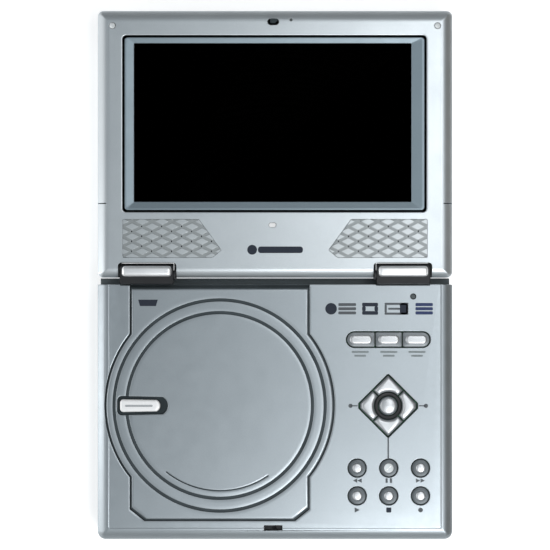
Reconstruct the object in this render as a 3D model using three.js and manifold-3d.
// Portable DVD player, opened flat: a disc base and a lid with a 7 inch screen.
// Millimetres. +X is right, +Y runs from the base to the lid, +Z is up. The origin is on the
// table under the lid hinge. Every sub-part is one closed body in its own named mesh.

import * as THREE from 'three';
import { mergeVertices } from 'three/addons/utils/BufferGeometryUtils.js';
import Module from 'manifold-3d';

const wasm = await Module();
wasm.setup();

// ---- Driving dimensions ---------------------------------------------------------------

const HALF_WIDTH = 98;
const REACH = 146; // hinge axis to the far edge of either half
const CLEARANCE = 0.3; // between neighbouring pieces
const WALL = 2.2;
const SKIN = 2.2; // thickness of the deck and of the lid's face
const EDGE_ROUND = 3;

const FOOT_HEIGHT = 1.5;
const BASE_SEAM = 12; // between the bottom and top case
const FACE_Z = 24; // deck and lid face
const DECK_UNDER = FACE_Z - SKIN;
const HINGE_Z = FACE_Z + 0.8; // leaves 1.6 between the faces when shut
const BASE_REAR = -5.25;
const BASE_CORNER = 4.5;
const REAR_LIP = { half: 92, low: 3, high: 9 }; // fills the slit between the halves, low down

const LID_BACK = 10;
const LID_SEAM = 17.2;
const LID_REAR = -1.4;
const LID_CORNER = 3;
const LID_ROUND = 2.5;

const BARREL_R = 5.5;
const BARREL_FROM = 56;
const BARREL_TO = 85;
const NOTCH_FROM = 54.5;
const NOTCH_TO = 86.5;
const NOTCH_DEPTH = 6.75;
const HINGE_PIN_R = 2;
const TOWER = { from: 62, to: 79, front: -11, rear: 0.5, low: 13, high: 19.3, riserFront: -4.6 };

const DISC = { x: -30.5, y: -71.9 };
const WELL_R = 61.5; // a 120 mm disc and 1.5 all round
const WELL_FLOOR = 15.5;
const DOOR_BULGE_R = 63.2;
const DOOR = { left: -79.8, right: 18.9, front: -135.3, rear: -7.3, chamferX: 8, chamferY: 6.4 };
const DOOR_PIN = { y: -9.5, z: 21.8, r: 1 };
const DOOR_THICK = 2;
const DOOR_GAP = 0.4;
const DOOR_LEDGE = 19.8; // the rear wall behind the door, cut down to let the door swing

const RELEASE = { left: -86.6, right: -60.7, half: 4.6, y: -72, travel: 3 };
const RELEASE_STEM = { left: -81.8, right: -75, half: 1.9, low: 21 };
const RELEASE_TONGUE = { left: -94.8, right: -74, half: 2.6, low: 20.8, high: 21.6 };

const KEY_TOP = FACE_Z + 0.8;
const KEY_FLANGE_Z = 20.9;
const KEY_FLANGE = 0.8; // how far a key's flange reaches under the deck
const PILL = { left: 39.7, right: 85.3, front: -39.5, rear: -31.6 };
const PILL_SPLITS = [55.2, 70.2];
const NAV = { x: 62.4, y: -72.1, half: 17, side: 15.6, hub: 8.8, key: 5.3 };
const ROUND_KEY_R = 4.8;
const ROUND_KEY_X = [45.3, 62.7, 80.2];
const ROUND_KEY_Y = [-106.4, -121.7];

const LATCH = { x: -1.1, y: 139.5 };
const LATCH_SLOT = { left: -6.1, right: 4, front: -141, rear: -138 };
const LATCH_KNOB = { left: -7.2, right: 5, low: 15.9, high: 19.6, travel: 2.5 };

const SCREEN = { left: -77.8, right: 75.3, front: 40.4, rear: 127.9 };
const BEZEL_OPENING = { left: -84.1, right: 83.6, front: 34.7, rear: 132.2 };

const RAIL_Z = 11;
const SCREW_Z = 9.2;
const SLED_START = -24; // lens from the disc's centre, at the innermost track

// ---- Materials ------------------------------------------------------------------------

function material(color, roughness, metalness) {
  return new THREE.MeshStandardMaterial({ color, roughness, metalness });
}

const SILVER = material(0xb4bcc3, 0.4, 0.5);
const SILVER_DARK = material(0x8f979e, 0.45, 0.5);
const KEY_SILVER = material(0xdfe3e6, 0.3, 0.6);
const BLACK_GLASS = material(0x050506, 0.12, 0);
const BLACK_PLASTIC = material(0x1d1f21, 0.5, 0);
const WHITE_PLASTIC = material(0xe9ecee, 0.4, 0);
const RUBBER = material(0x2a2b2c, 0.9, 0);
const STEEL = material(0xa9adb1, 0.35, 1);
const CIRCUIT_BOARD = material(0x1f5a3a, 0.6, 0);
const BATTERY_WRAP = material(0x2c4f8a, 0.5, 0);
const LENS_GLASS = material(0x9fb6c9, 0.1, 0);

// ---- Solids ---------------------------------------------------------------------------

function solid(geometry) {
  const bare = geometry.clone();
  bare.deleteAttribute('normal');
  bare.deleteAttribute('uv');
  const welded = mergeVertices(bare, 1e-4);
  return new wasm.Manifold(new wasm.Mesh({
    numProp: 3,
    vertProperties: new Float32Array(welded.attributes.position.array),
    triVerts: new Uint32Array(welded.index.array),
  }));
}

function box(x0, x1, y0, y1, z0, z1) {
  const geometry = new THREE.BoxGeometry(x1 - x0, y1 - y0, z1 - z0);
  geometry.translate((x0 + x1) / 2, (y0 + y1) / 2, (z0 + z1) / 2);
  return solid(geometry);
}

function slab(area, z0, z1) {
  return box(area.left, area.right, area.front, area.rear, z0, z1);
}

function prism(shape, z0, z1, arcSteps = 2) {
  const options = { depth: z1 - z0, bevelEnabled: false, curveSegments: arcSteps };
  const geometry = new THREE.ExtrudeGeometry(shape, options);
  geometry.translate(0, 0, z0);
  return solid(geometry);
}

// A prism whose top and bottom edges are rounded inwards.
function roundedPrism(shape, z0, z1, round) {
  const geometry = new THREE.ExtrudeGeometry(shape, {
    depth: z1 - z0 - 2 * round,
    bevelThickness: round,
    bevelSize: round,
    bevelOffset: -round,
    bevelSegments: 2,
    curveSegments: 2,
  });
  geometry.translate(0, 0, z0 + round);
  return solid(geometry);
}

function cylinder(radius, length, segments) {
  return new THREE.CylinderGeometry(radius, radius, length, segments);
}

function rodX(x0, x1, y, z, radius, segments = 24) {
  const geometry = cylinder(radius, x1 - x0, segments);
  geometry.rotateZ(Math.PI / 2);
  geometry.translate((x0 + x1) / 2, y, z);
  return solid(geometry);
}

function rodY(y0, y1, x, z, radius, segments = 16) {
  const geometry = cylinder(radius, y1 - y0, segments);
  geometry.translate(x, (y0 + y1) / 2, z);
  return solid(geometry);
}

function rodZ(z0, z1, x, y, radius, segments = 24) {
  const geometry = cylinder(radius, z1 - z0, segments);
  geometry.rotateX(Math.PI / 2);
  geometry.translate(x, y, (z0 + z1) / 2);
  return solid(geometry);
}

function roundedRect(x0, x1, y0, y1, radius) {
  const shape = new THREE.Shape();
  shape.absarc(x1 - radius, y0 + radius, radius, -Math.PI / 2, 0);
  shape.absarc(x1 - radius, y1 - radius, radius, 0, Math.PI / 2);
  shape.absarc(x0 + radius, y1 - radius, radius, Math.PI / 2, Math.PI);
  shape.absarc(x0 + radius, y0 + radius, radius, Math.PI, 1.5 * Math.PI);
  return shape;
}

function polygon(points) {
  return new THREE.Shape(points.map(([x, y]) => new THREE.Vector2(x, y)));
}

function join(parts) {
  return parts.reduce((sum, part) => sum.add(part));
}

function cut(body, parts) {
  return parts.reduce((rest, part) => rest.subtract(part), body);
}

function mirrorX(side, x0, x1) {
  return side > 0 ? [x0, x1] : [-x1, -x0];
}

const player = new THREE.Group();

function add(name, body, finish) {
  const { vertProperties, triVerts } = body.getMesh();
  const geometry = new THREE.BufferGeometry();
  geometry.setAttribute('position', new THREE.BufferAttribute(vertProperties, 3));
  geometry.setIndex(new THREE.BufferAttribute(triVerts, 1));
  geometry.computeVertexNormals();
  const mesh = new THREE.Mesh(geometry, finish);
  mesh.name = name;
  player.add(mesh);
}

// ---- Base cases -----------------------------------------------------------------------

const OPEN_REAR = 10; // an outline that runs this far back is cut off square at the rear

function baseOutline(inset, rear = BASE_REAR - inset) {
  const corner = BASE_CORNER - Math.min(inset, BASE_CORNER - 1);
  const x = HALF_WIDTH - inset;
  return roundedRect(-x, x, inset - REACH, rear, corner);
}

// A rounded block over the base's outline, with a square rear edge.
function baseBlock(z0, z1) {
  const block = roundedPrism(baseOutline(0, OPEN_REAR), z0, z1, EDGE_ROUND);
  return cut(block, [box(-100, 100, BASE_REAR, OPEN_REAR + 1, z0 - 1, z1 + 1)]);
}

const VENTS = { count: 5, left: -62, width: 3, pitch: 9, front: -128, rear: -108 };
const SCREW_POSTS = [-86, 86].flatMap((x) => [-17, -130].map((y) => [x, y]));
const FOOT_PLACES = [
  ['foot_front_left', -84, -136],
  ['foot_front_right', 84, -136],
  ['foot_rear_left', -84, -13],
  ['foot_rear_right', 84, -13],
];
const FOOT_R = 5;
const FOOT_RECESS = 0.5;

const JACK_Z = 7.2;
const JACK_HOLE_R = 3.8;
const JACK_PLACES = { dc_jack: -32, av_jack: -104, headphone_jack: -118 };

function bottomCase() {
  const outer = baseBlock(FOOT_HEIGHT, BASE_SEAM + EDGE_ROUND);
  const above = box(-100, 100, -150, 0, BASE_SEAM, 20);
  const inner = prism(baseOutline(WALL), FOOT_HEIGHT + WALL, 20);
  const posts = SCREW_POSTS.map(([x, y]) => rodZ(FOOT_HEIGHT + 1, BASE_SEAM - 1, x, y, 3, 16));
  const recesses = FOOT_PLACES.map(([, x, y]) => (
    rodZ(0, FOOT_HEIGHT + FOOT_RECESS, x, y, FOOT_R + CLEARANCE)
  ));
  const vents = Array.from({ length: VENTS.count }, (_, i) => {
    const x = VENTS.left + VENTS.pitch * i;
    return box(x, x + VENTS.width, VENTS.front, VENTS.rear, 0, 5);
  });
  const jackHoles = Object.values(JACK_PLACES).map((y) => (
    rodX(HALF_WIDTH - 4, HALF_WIDTH + 2, y, JACK_Z, JACK_HOLE_R)
  ));
  const lip = box(-REAR_LIP.half, REAR_LIP.half, BASE_REAR - 1, LID_REAR - 0.5,
    REAR_LIP.low, REAR_LIP.high);
  const shell = join([cut(outer, [above, inner]), ...posts, lip]);
  return cut(shell, [...recesses, ...vents, ...jackHoles]);
}

function doorOutline(grow, z0, z1) {
  const x0 = DOOR.left - grow;
  const x1 = DOOR.right + grow;
  const y0 = DOOR.front - grow;
  const panel = prism(polygon([
    [x0 + DOOR.chamferX, y0],
    [x1 - DOOR.chamferX, y0],
    [x1, y0 + DOOR.chamferY],
    [x1, DOOR.rear],
    [x0, DOOR.rear],
    [x0, y0 + DOOR.chamferY],
  ]), z0, z1);
  return panel.add(rodZ(z0, z1, DISC.x, DISC.y, DOOR_BULGE_R + grow, 72));
}

function navDiamond(grow, z0, z1) {
  const tip = NAV.half + grow;
  const side = NAV.side + grow;
  const blunt = tip - side;
  return prism(polygon([
    [NAV.x, NAV.y + tip],
    [NAV.x - side, NAV.y + blunt],
    [NAV.x - side, NAV.y - blunt],
    [NAV.x, NAV.y - tip],
    [NAV.x + side, NAV.y - blunt],
    [NAV.x + side, NAV.y + blunt],
  ]), z0, z1);
}

function pill(grow, z0, z1) {
  const radius = (PILL.rear - PILL.front) / 2 + grow - 0.05;
  const outline = roundedRect(
    PILL.left - grow, PILL.right + grow, PILL.front - grow, PILL.rear + grow, radius);
  return prism(outline, z0, z1, 4);
}

function roundKeyPlaces() {
  return ROUND_KEY_Y.flatMap((y) => ROUND_KEY_X.map((x) => [x, y]));
}

const STATUS_LED = { x: 76.2, y: -11.8, r: 1.3 };
const RIM_GROOVE = { inset: 4.3, width: 0.6, depth: 0.8 };
const VOLUME = { y: -62, low: 14.2, high: 17.2, r: 8, reach: 97.7, slotHalf: 7.2 };
const POWER = { y: -46, z: 15.5, slotHalf: 5, slotHeight: 2.2, travel: 4 };

// Runs down both sides and along the front, and out through the rear edge.
function rimGroove() {
  const top = FACE_Z + 1;
  const bottom = FACE_Z - RIM_GROOVE.depth;
  const { inset, width } = RIM_GROOVE;
  const outer = prism(baseOutline(inset, OPEN_REAR), bottom, top);
  const inner = prism(baseOutline(inset + width, OPEN_REAR + 1), bottom - 1, top + 1);
  return outer.subtract(inner);
}

function doorPinBosses() {
  const spans = [[DOOR.left - 4, DOOR.left - DOOR_GAP], [DOOR.right + DOOR_GAP, DOOR.right + 4]];
  const front = DOOR_PIN.y - 1.8;
  return spans.map(([x0, x1]) => (
    box(x0, x1, front, BASE_REAR - 1, DOOR_LEDGE - 0.4, DECK_UNDER + 1)
  ));
}

function topCase() {
  const outer = baseBlock(BASE_SEAM - EDGE_ROUND, FACE_Z);
  const below = box(-100, 100, -150, 0, 0, BASE_SEAM + CLEARANCE);
  const inner = prism(baseOutline(WALL), 0, DECK_UNDER);
  const shell = join([cut(outer, [below, inner]), ...doorPinBosses()]);
  const high = FACE_Z + 2;
  const low = DECK_UNDER - 2;
  const towerHoles = [-1, 1].map((side) => {
    const [x0, x1] = mirrorX(side, TOWER.from - CLEARANCE, TOWER.to + CLEARANCE);
    return box(x0, x1, BASE_REAR - 4, BASE_REAR + 1, 10, TOWER.high + CLEARANCE);
  });
  const barrelReliefs = [-1, 1].map((side) => {
    const [x0, x1] = mirrorX(side, BARREL_FROM - CLEARANCE, BARREL_TO + CLEARANCE);
    return rodX(x0, x1, 0, HINGE_Z, BARREL_R + CLEARANCE, 36);
  });
  const wallIn = HALF_WIDTH - 5;
  const wallOut = HALF_WIDTH + 1;
  return cut(shell, [
    doorOutline(0, DOOR_LEDGE, high),
    box(DOOR.left, DOOR.right, BASE_REAR - 4, BASE_REAR + 1, DOOR_LEDGE, high),
    rodX(DOOR.left - 2.6, DOOR.right + 2.6, DOOR_PIN.y, DOOR_PIN.z, DOOR_PIN.r + CLEARANCE, 16),
    pill(0, low, high),
    navDiamond(0, low, high),
    ...roundKeyPlaces().map(([x, y]) => rodZ(low, high, x, y, ROUND_KEY_R + CLEARANCE)),
    rodZ(low, high, STATUS_LED.x, STATUS_LED.y, STATUS_LED.r + CLEARANCE, 16),
    slab(LATCH_SLOT, low, high),
    rimGroove(),
    ...towerHoles,
    ...barrelReliefs,
    box(wallIn, wallOut, VOLUME.y - VOLUME.slotHalf, VOLUME.y + VOLUME.slotHalf,
      VOLUME.low - 0.4, VOLUME.high + 0.4),
    box(wallIn, wallOut, POWER.y - POWER.slotHalf, POWER.y + POWER.slotHalf,
      POWER.z - POWER.slotHeight, POWER.z + POWER.slotHeight),
    box(LATCH_KNOB.left - 0.4, LATCH_KNOB.right + LATCH_KNOB.travel + 0.4, -REACH - 1, 3 - REACH,
      LATCH_KNOB.low - CLEARANCE, LATCH_KNOB.high + CLEARANCE),
  ]);
}

add('base_bottom_case', bottomCase(), SILVER_DARK);
add('base_top_case', topCase(), SILVER);

for (const [name, x, y] of FOOT_PLACES) {
  add(name, rodZ(0, FOOT_HEIGHT + FOOT_RECESS - 0.2, x, y, FOOT_R), RUBBER);
}

// ---- Disc well and mechanism ----------------------------------------------------------

const TRAY_TOP = 21.4;
const TRAY_THICK = 1.5;
const HUB_HOLE_R = 4;
const SLED_SLOT = { half: 6, front: -60.3, rear: -19.5 }; // from the disc's centre
const DOOR_SWEEP = { front: -12.3, low: 18.2 }; // room for the door's rear edge as it swings down

function wellTray() {
  const flangeLow = TRAY_TOP - TRAY_THICK;
  const flange = cut(doorOutline(1.2, flangeLow, TRAY_TOP), [
    box(-120, -HALF_WIDTH + WALL + CLEARANCE, -146, 0, flangeLow - 1, TRAY_TOP + 1),
  ]);
  const cup = rodZ(WELL_FLOOR - TRAY_THICK, TRAY_TOP, DISC.x, DISC.y, WELL_R + TRAY_THICK, 72);
  return cut(flange.add(cup), [
    rodZ(WELL_FLOOR, 30, DISC.x, DISC.y, WELL_R, 72),
    rodZ(10, 20, DISC.x, DISC.y, HUB_HOLE_R),
    mechBox(-SLED_SLOT.half, SLED_SLOT.half, SLED_SLOT.front, SLED_SLOT.rear, 10, 18),
    box(-100, -88, RELEASE.y - RELEASE.half, RELEASE.y + RELEASE.half, 20.2, 30),
    box(-120, 60, DOOR_SWEEP.front, 0, DOOR_SWEEP.low, 30),
  ]);
}

// The mechanism's own frame: X and Y from the disc's centre.
const RAIL_X = 17;
const RAIL_FRONT = -70;
const RAIL_R = 1.2;
const SCREW_X = 26;
const SCREW_R = 1.5;
const CHASSIS_LOW = 7.6;
const CHASSIS_HIGH = 8.8;
const TABLE_R = 15; // the turntable under the disc
const BOSS_R = 7.3; // fits the disc's 15 mm hole
const SHAFT_R = 1.5;

function mechBox(x0, x1, y0, y1, z0, z1) {
  return box(DISC.x + x0, DISC.x + x1, DISC.y + y0, DISC.y + y1, z0, z1);
}

function mechRod(x, y0, y1, z, radius) {
  return rodY(DISC.y + y0, DISC.y + y1, DISC.x + x, z, radius);
}

function mechChassis() {
  const railEars = [-RAIL_X, RAIL_X].flatMap((x) => [-12.6, RAIL_FRONT].map((y) => (
    mechBox(x - 2.4, x + 2.4, y, y + 2.4, CHASSIS_LOW, 13.2)
  )));
  const screwEar = mechBox(
    SCREW_X - 2.6, SCREW_X + 2.6, RAIL_FRONT, RAIL_FRONT + 2.4, CHASSIS_LOW, 12);
  const plate = mechBox(-30, 36, RAIL_FRONT - 1, 22, CHASSIS_LOW, CHASSIS_HIGH);
  return cut(join([plate, ...railEars, screwEar]), [
    mechBox(-14, 32, -66.5, -13.5, 5, 10),
    mechBox(SCREW_X - 5, SCREW_X + 5, -14, 8, 5, 10),
    mechRod(-RAIL_X, RAIL_FRONT - 2, -9, RAIL_Z, RAIL_R + CLEARANCE),
    mechRod(RAIL_X, RAIL_FRONT - 2, -9, RAIL_Z, RAIL_R + CLEARANCE),
    mechRod(SCREW_X, RAIL_FRONT - 2, -60, SCREW_Z, 1.3),
  ]);
}

function laserSled() {
  const y = SLED_START;
  const block = mechBox(-21, SCREW_X + 4, y - 9, y + 9, RAIL_Z - 1.8, 13.4);
  const nut = mechBox(SCREW_X - 4, SCREW_X + 4, y - 9, y + 9, SCREW_Z - 2.4, 12);
  const tower = mechBox(-3.5, 3.5, y - 3.5, y + 3.5, 12, 15.9);
  const lens = rodZ(14, 16.2, DISC.x, DISC.y + y, 2.4, 20);
  return cut(join([block, nut, tower, lens]), [
    mechRod(-RAIL_X, y - 10, y + 10, RAIL_Z, RAIL_R + CLEARANCE),
    mechRod(RAIL_X, y - 10, y + 10, RAIL_Z, RAIL_R + CLEARANCE),
    mechRod(SCREW_X, y - 10, y + 10, SCREW_Z, SCREW_R + CLEARANCE),
  ]);
}

function leadScrew() {
  const thread = mechRod(SCREW_X, -66.2, -12, SCREW_Z, SCREW_R);
  const journal = mechRod(SCREW_X, RAIL_FRONT, -66, SCREW_Z, 1);
  return thread.add(journal);
}

function spindleHub() {
  const shaft = rodZ(10.4, 16.5, DISC.x, DISC.y, SHAFT_R, 16);
  const table = rodZ(16, 17.6, DISC.x, DISC.y, TABLE_R, 40);
  const boss = rodZ(17, 20.4, DISC.x, DISC.y, BOSS_R, 32);
  return join([shaft, table, boss]);
}

function spindleMotor() {
  const can = rodZ(CHASSIS_HIGH + CLEARANCE, 13.5, DISC.x, DISC.y, 11, 32);
  return cut(can, [rodZ(10, 15, DISC.x, DISC.y, SHAFT_R + CLEARANCE, 16)]);
}

add('disc_well_tray', wellTray(), BLACK_PLASTIC);
add('mech_chassis', mechChassis(), STEEL);
add('spindle_motor', spindleMotor(), STEEL);
add('spindle_hub', spindleHub(), BLACK_PLASTIC);
add('guide_rod_left', mechRod(-RAIL_X, RAIL_FRONT, -10.2, RAIL_Z, RAIL_R), STEEL);
add('guide_rod_right', mechRod(RAIL_X, RAIL_FRONT, -10.2, RAIL_Z, RAIL_R), STEEL);
add('laser_sled', laserSled(), BLACK_PLASTIC);
add('lead_screw', leadScrew(), STEEL);
add('sled_motor', mechRod(SCREW_X, -11.6, 6, SCREW_Z, 4.4), STEEL);

// ---- Boards, battery and sockets ------------------------------------------------------

const MAIN_BOARD = { left: 24, right: 82, front: -128, rear: -20, low: 4.6, top: 6.2 };
const CHIPS = [[34, -44], [34, -72], [56, -40], [70, -90]];
const CHIP_SIZE = 12;
const KEY_BOARD = { left: 36, right: 90, front: -136, rear: -27, low: 18.6, top: 20 };
const BATTERY = { left: 34, right: 79, front: -128, rear: -62, low: 8, top: 17 };

function mainBoard() {
  const board = slab(MAIN_BOARD, MAIN_BOARD.low, MAIN_BOARD.top);
  const chips = CHIPS.map(([x, y]) => (
    box(x, x + CHIP_SIZE, y - CHIP_SIZE, y, MAIN_BOARD.top - 0.2, MAIN_BOARD.top + 1.1)
  ));
  return join([board, ...chips]);
}

function batteryPack() {
  const { left, right, front, rear, low, top } = BATTERY;
  return roundedPrism(roundedRect(left, right, front, rear, 4), low, top, 1.5);
}

// A socket's nose sits in the right wall; its bore opens to the outside.
function socket(y, boreR) {
  const body = box(84, 95.4, y - 4.5, y + 4.5, 4.2, 10.4);
  const nose = rodX(94, HALF_WIDTH - 0.2, y, JACK_Z, JACK_HOLE_R - CLEARANCE);
  return join([body, nose]).subtract(rodX(88, 100, y, JACK_Z, boreR, 16));
}

add('main_board', mainBoard(), CIRCUIT_BOARD);
add('key_board', slab(KEY_BOARD, KEY_BOARD.low, KEY_BOARD.top), CIRCUIT_BOARD);
add('battery_pack', batteryPack(), BATTERY_WRAP);
add('dc_jack', socket(JACK_PLACES.dc_jack, 2), BLACK_PLASTIC);
add('av_jack', socket(JACK_PLACES.av_jack, 1.8), BLACK_PLASTIC);
add('headphone_jack', socket(JACK_PLACES.headphone_jack, 1.8), BLACK_PLASTIC);
add('status_led', rodZ(DECK_UNDER - 1, FACE_Z - 0.1, STATUS_LED.x, STATUS_LED.y, STATUS_LED.r, 16),
  BLACK_PLASTIC);

function volumeWheel() {
  const x = VOLUME.reach - VOLUME.r;
  return rodZ(VOLUME.low, VOLUME.high, x, VOLUME.y, VOLUME.r, 36);
}

function powerSwitch() {
  const knobZ = POWER.slotHeight - CLEARANCE;
  const y = POWER.y - POWER.travel / 2;
  const carrier = box(94, 95.4, POWER.y - 9, POWER.y + 5, POWER.z - 3, POWER.z + 3);
  return carrier.add(box(95, HALF_WIDTH - 0.2, y - 2.5, y + 2.5, POWER.z - knobZ, POWER.z + knobZ));
}

add('volume_wheel', volumeWheel(), BLACK_PLASTIC);
add('power_switch', powerSwitch(), BLACK_PLASTIC);

// ---- Disc door ------------------------------------------------------------------------

function discDoor() {
  const bottom = FACE_Z - DOOR_THICK;
  const plate = cut(doorOutline(-DOOR_GAP, bottom, FACE_Z), [
    box(-120, 60, DOOR.rear, 0, bottom - 1, FACE_Z + 1),
  ]);
  const lugs = [DOOR.left + DOOR_GAP, DOOR.right - DOOR_GAP - 3].map((x) => (
    box(x, x + 3, DOOR_PIN.y - 1.2, DOOR_PIN.y + 1.2, DOOR_PIN.z - 1.2, bottom + 0.5)
  ));
  const pins = [[DOOR.left - 2.2, DOOR.left + 3], [DOOR.right - 3, DOOR.right + 2.2]].map(
    ([x0, x1]) => rodX(x0, x1, DOOR_PIN.y, DOOR_PIN.z, DOOR_PIN.r, 16));
  const recess = roundedRect(
    RELEASE.left, RELEASE.right, RELEASE.y - RELEASE.half, RELEASE.y + RELEASE.half,
    RELEASE.half - 0.1);
  return cut(join([plate, ...lugs, ...pins]), [
    prism(recess, FACE_Z - 1.2, FACE_Z + 2, 4),
    box(RELEASE_STEM.left - 0.4, RELEASE_STEM.right + RELEASE.travel + 1,
      RELEASE.y - RELEASE_STEM.half - CLEARANCE, RELEASE.y + RELEASE_STEM.half + CLEARANCE,
      bottom - 1, FACE_Z),
  ]);
}

function doorRelease() {
  const half = RELEASE.half - 1;
  const stem = RELEASE_STEM;
  const tongue = RELEASE_TONGUE;
  const cap = roundedRect(
    RELEASE.left + 1.2, RELEASE.right - CLEARANCE - RELEASE.travel,
    RELEASE.y - half, RELEASE.y + half, half - 0.1);
  return join([
    prism(cap, FACE_Z - 0.9, FACE_Z + 0.7, 4),
    box(stem.left, stem.right, RELEASE.y - stem.half, RELEASE.y + stem.half, stem.low, FACE_Z),
    box(tongue.left, tongue.right, RELEASE.y - tongue.half, RELEASE.y + tongue.half,
      tongue.low, tongue.high),
  ]);
}

add('disc_door', discDoor(), SILVER);
add('door_release', doorRelease(), KEY_SILVER);

// ---- Keys -----------------------------------------------------------------------------

function pillKey(index) {
  const edges = [PILL.left - 1, ...PILL_SPLITS, PILL.right + 1];
  const slice = box(
    edges[index] + CLEARANCE, edges[index + 1] - CLEARANCE, -50, -20, 0, 40);
  const cap = pill(-CLEARANCE, KEY_FLANGE_Z, KEY_TOP).intersect(slice);
  const flange = pill(KEY_FLANGE, KEY_FLANGE_Z, KEY_FLANGE_Z + 0.6).intersect(slice);
  return cap.add(flange);
}

// One quarter of the diamond, on the side that the angle points to.
function navKey(angle) {
  const reach = 40;
  const gap = 0.45;
  const along = [Math.cos(angle), Math.sin(angle)];
  const across = [-along[1], along[0]];
  const corner = (a, b) => [
    NAV.x + a * along[0] + b * across[0],
    NAV.y + a * along[1] + b * across[1],
  ];
  const wedge = prism(polygon([corner(gap, 0), corner(reach, gap - reach), corner(reach, reach - gap)]),
    0, 40);
  const middle = rodZ(0, 40, NAV.x, NAV.y, NAV.hub, 40);
  const cap = navDiamond(-CLEARANCE - 0.1, KEY_FLANGE_Z, KEY_TOP);
  const flange = navDiamond(KEY_FLANGE, KEY_FLANGE_Z, KEY_FLANGE_Z + 0.6);
  return cap.add(flange).intersect(wedge).subtract(middle);
}

function roundKey(x, y, radius) {
  const cap = rodZ(KEY_FLANGE_Z, KEY_TOP, x, y, radius, 20);
  return cap.add(rodZ(KEY_FLANGE_Z, KEY_FLANGE_Z + 0.6, x, y, radius + KEY_FLANGE, 20));
}

['source_key', 'menu_key', 'display_key'].forEach((name, index) => {
  add(name, pillKey(index), KEY_SILVER);
});
['nav_right_key', 'nav_up_key', 'nav_left_key', 'nav_down_key'].forEach((name, quarter) => {
  add(name, navKey(quarter * Math.PI / 2), KEY_SILVER);
});
add('nav_enter_key', roundKey(NAV.x, NAV.y, NAV.key), KEY_SILVER);
['previous_key', 'pause_key', 'next_key', 'play_key', 'stop_key', 'setup_key'].forEach((name, i) => {
  const [x, y] = roundKeyPlaces()[i];
  add(name, roundKey(x, y, ROUND_KEY_R), KEY_SILVER);
});

// ---- Lid latch ------------------------------------------------------------------------

// Shut, the hook hangs through the deck slot and its barb sits under the slide's window edge.
const HOOK = { left: LATCH.x - 1.5, right: LATCH.x + 1.5, barb: LATCH.x + 2.5, tip: 30.2 };

function latchHook() {
  const y0 = LATCH.y - 0.6;
  const y1 = LATCH.y + 0.9;
  return join([
    box(LATCH.x - 5, LATCH.x + 5, LATCH.y - 2.6, LATCH.y + 2.6, 20.2, FACE_Z - SKIN - CLEARANCE),
    box(HOOK.left, HOOK.right, y0, y1, 21, HOOK.tip),
    box(HOOK.left, HOOK.barb, y0, y1, HOOK.tip - 0.9, HOOK.tip),
  ]);
}

function latchRelease() {
  const plateLow = 20.4;
  const plate = box(-16, 14, -143.4, -137.3, plateLow, DECK_UNDER - CLEARANCE);
  const window = box(HOOK.left - 3.6, HOOK.barb - 0.6, -141.2, -138.2, 20, 23);
  const shield = box(-11.5, 12, -143.4, -142.4, 14.6, plateLow + 0.5);
  const knob = box(
    LATCH_KNOB.left, LATCH_KNOB.right, 0.2 - REACH, -143, LATCH_KNOB.low, LATCH_KNOB.high);
  return join([plate.subtract(window), shield, knob]);
}

add('latch_release', latchRelease(), BLACK_PLASTIC);

// ---- Hinge ----------------------------------------------------------------------------

function hingeBarrel(side) {
  const [x0, x1] = mirrorX(side, BARREL_FROM, BARREL_TO);
  const [t0, t1] = mirrorX(side, TOWER.from, TOWER.to);
  const [b0, b1] = mirrorX(side, BARREL_FROM - 1, BARREL_FROM + 16);
  const barrel = rodX(x0, x1, 0, HINGE_Z, BARREL_R, 36);
  const tongue = box(t0, t1, TOWER.front, TOWER.rear, TOWER.low, TOWER.high);
  const riser = box(t0, t1, TOWER.riserFront, TOWER.rear, TOWER.high - 1, HINGE_Z - 2.5);
  const bore = rodX(b0, b1, 0, HINGE_Z, HINGE_PIN_R + CLEARANCE);
  return join([barrel, tongue, riser]).subtract(bore);
}

// A plate beside the barrel carries the hinge pin; its foot lies on the lid's back cover.
function hingeArm(side) {
  const low = LID_BACK + 2 + CLEARANCE;
  const [p0, p1] = mirrorX(side, BARREL_FROM - 1.2, BARREL_FROM - 0.3);
  const [s0, s1] = mirrorX(side, BARREL_FROM - 1, BARREL_FROM + 14);
  const [f0, f1] = mirrorX(side, 42, BARREL_FROM - 0.3);
  const head = 2.6;
  return join([
    rodX(p0, p1, 0, HINGE_Z, head),
    box(p0, p1, -head, head, 16, HINGE_Z),
    box(p0, p1, -head, 10.2, low, 21.5),
    rodX(s0, s1, 0, HINGE_Z, HINGE_PIN_R),
    box(f0, f1, 9.2, 18, low, low + 1),
  ]);
}

for (const [name, side] of [['left', -1], ['right', 1]]) {
  add(`hinge_barrel_${name}`, hingeBarrel(side), SILVER);
  add(`hinge_arm_${name}`, hingeArm(side), STEEL);
}

// ---- Lid ------------------------------------------------------------------------------

function lidOutline(inset) {
  const corner = LID_CORNER - Math.min(inset, LID_CORNER - 1);
  const x = HALF_WIDTH - inset;
  return roundedRect(-x, x, LID_REAR + inset, REACH - inset, corner);
}

function hingeNotches(grow, z0, z1) {
  return [-1, 1].map((side) => {
    const [x0, x1] = mirrorX(side, NOTCH_FROM - grow, NOTCH_TO + grow);
    return box(x0, x1, -20, NOTCH_DEPTH + grow, z0, z1);
  });
}

function armSlots() {
  return [-1, 1].map((side) => {
    const [x0, x1] = mirrorX(side, NOTCH_FROM - 0.1, BARREL_FROM);
    return box(x0, x1, 6, 9.4, LID_BACK + 2, 21.9);
  });
}

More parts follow.
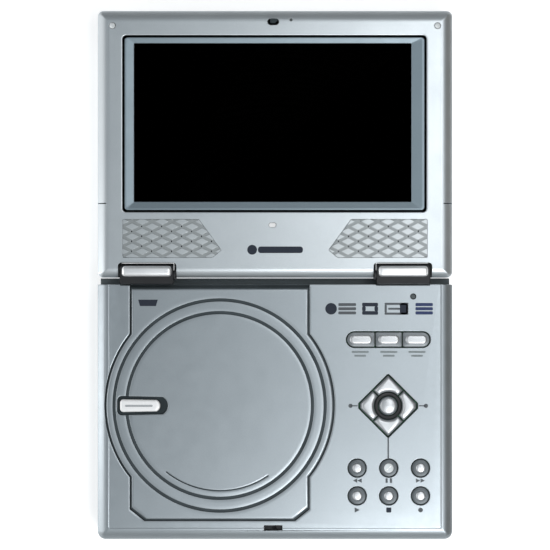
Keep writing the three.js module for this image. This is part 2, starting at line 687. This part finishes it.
function lidShell(z0, z1, cavityLow, cavityHigh) {
  const outer = roundedPrism(lidOutline(0), LID_BACK, FACE_Z, LID_ROUND);
  const others = [
    box(-100, 100, -10, 150, z1, 40),
    box(-100, 100, -10, 150, 0, z0),
  ];
  const cavity = cut(prism(lidOutline(WALL), cavityLow, cavityHigh), hingeNotches(WALL, 0, 40));
  return cut(outer, [...others, cavity, ...hingeNotches(0, 0, 40), ...armSlots()]);
}

function frameShape(area) {
  return roundedRect(area.left, area.right, area.front, area.rear, 1.2);
}

function shrink(area, by) {
  return {
    left: area.left + by,
    right: area.right - by,
    front: area.front + by,
    rear: area.rear - by,
  };
}

const GRILLE = { outer: 84, rear: 30.8, front: 9.6, shoulder: 42, tip: 29.5, tipY: 13.7, heel: 34.5 };

// A five-sided plate that points to the middle of the lid.
function grillePlate(side, inset, z0, z1) {
  const corners = [
    [GRILLE.outer - inset, GRILLE.rear - inset],
    [GRILLE.shoulder + inset / 2, GRILLE.rear - inset],
    [GRILLE.tip + inset * 1.3, GRILLE.tipY + inset / 4],
    [GRILLE.heel + inset / 2, GRILLE.front + inset],
    [GRILLE.outer - inset, GRILLE.front + inset],
  ];
  return prism(polygon(corners.map(([x, y]) => [side * x, y])), z0, z1);
}

const BUMPERS = [['bumper_left', -89.6], ['bumper_right', 89.6]];
const BUMPER_Y = 137.4;
const BUMPER_R = 1.6;
const LID_LED = { x: -1.4, y: 27.6, r: 1.5 };

function frontBezel() {
  const low = FACE_Z - SKIN - 1;
  const high = FACE_Z + 1;
  const shell = lidShell(LID_SEAM + CLEARANCE, FACE_Z, 0, FACE_Z - SKIN);
  return cut(shell, [
    prism(frameShape(BEZEL_OPENING), low, high),
    grillePlate(-1, 0, low, high),
    grillePlate(1, 0, low, high),
    box(HOOK.left - 1.1, HOOK.barb + 0.7, LATCH.y - 1.6, LATCH.y + 1.8, low, high),
    rodZ(low, high, LID_LED.x, LID_LED.y, LID_LED.r + CLEARANCE, 16),
    ...BUMPERS.map(([, x]) => rodZ(FACE_Z - 1, high, x, BUMPER_Y, BUMPER_R + 0.2, 16)),
  ]);
}

function screenFrame() {
  const ring = prism(frameShape(shrink(BEZEL_OPENING, 0.9)), FACE_Z - 2.1, FACE_Z - 0.5);
  return ring.subtract(prism(frameShape(SCREEN), 10, 30));
}

function lcdPanel() {
  return slab(shrink(SCREEN, -2.4), 17.8, FACE_Z - 2.4);
}

const BACKLIGHT = { left: -78, right: 75.5, front: 40.5, rear: 128 };
const DRIVER_BOARD = { left: -60, right: 50, front: 48, rear: 112 };
const SPEAKER = { x: 60, y: 19, halfLength: 20, halfWidth: 7.8, basketR: 7.4, magnetR: 5.4 };

function speaker(side) {
  const x = side * SPEAKER.x;
  const { y, halfLength, halfWidth } = SPEAKER;
  const frame = box(x - halfLength, x + halfLength, y - halfWidth, y + halfWidth, 20.4, 21.6);
  const basket = rodZ(16.5, 21, x, y, SPEAKER.basketR);
  const magnet = rodZ(13.6, 17, x, y, SPEAKER.magnetR);
  return join([frame, basket, magnet]);
}

add('lid_back_cover', lidShell(LID_BACK, LID_SEAM, LID_BACK + 2, 40), SILVER);
add('lid_front_bezel', frontBezel(), SILVER);
add('screen_frame', screenFrame(), SILVER_DARK);
add('lcd_panel', lcdPanel(), BLACK_GLASS);
add('backlight_unit', slab(BACKLIGHT, 15.6, 17.5), WHITE_PLASTIC);
add('lcd_driver_board', slab(DRIVER_BOARD, 13, 14.6), CIRCUIT_BOARD);
add('speaker_left', speaker(-1), BLACK_PLASTIC);
add('speaker_right', speaker(1), BLACK_PLASTIC);
add('speaker_grille_left', grillePlate(-1, 0.3, 22.4, FACE_Z), SILVER);
add('speaker_grille_right', grillePlate(1, 0.3, 22.4, FACE_Z), SILVER);
add('latch_hook', latchHook(), BLACK_PLASTIC);
add('lid_led', rodZ(21.6, FACE_Z - 0.1, LID_LED.x, LID_LED.y, LID_LED.r, 16), LENS_GLASS);
for (const [name, x] of BUMPERS) {
  add(name, rodZ(FACE_Z - 0.8, FACE_Z + 1.3, x, BUMPER_Y, BUMPER_R, 16), WHITE_PLASTIC);
}

export default player;
